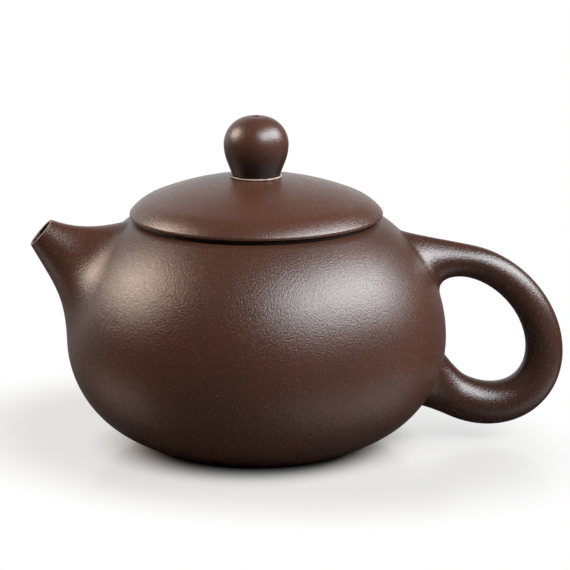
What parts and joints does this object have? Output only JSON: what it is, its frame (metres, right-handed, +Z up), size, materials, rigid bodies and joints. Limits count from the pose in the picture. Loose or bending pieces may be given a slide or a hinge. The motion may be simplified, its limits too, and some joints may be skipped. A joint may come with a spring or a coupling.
{
  "type": "clay teapot",
  "caption": "Round unglazed clay teapot with a short flared spout, an ear-shaped loop handle and a lift-off domed lid with a ball knob; brews and pours tea.",
  "frame": {"origin": "centre of the flat foot, on the surface that the pot stands on", "axes": "+Z up along the pot's axis, +X towards the handle, -X towards the spout, X-Z is the plane of symmetry"},
  "size_m": [0.131, 0.093, 0.0814],
  "materials": {
    "clay": "unglazed satin purple-brown stoneware, fine grained",
    "slip": "dry pale slip at a luted joint"
  },
  "bodies": {
    "pot": {"belly_wall": "clay", "base_disc": "clay", "shoulder_disc": "clay", "mouth_ring": "clay", "strainer": "clay", "spout": "clay", "spout_slip": "slip", "handle": "clay", "handle_slip": "slip"},
    "lid_neck": {"lid_flange": "clay"},
    "lid": {"lid_plate": "clay", "knob": "clay", "knob_ring": "slip"}
  },
  "joints": [
    {"name": "lid_lift", "type": "slide", "parent": "pot", "child": "lid_neck", "axis": [0, 0, 1], "range_m": [0, 0.08]},
    {"name": "lid_turn", "type": "hinge", "parent": "lid_neck", "child": "lid", "pos_m": [0, 0, 0.057], "axis": [0, 0, 1], "continuous": true}
  ]
}
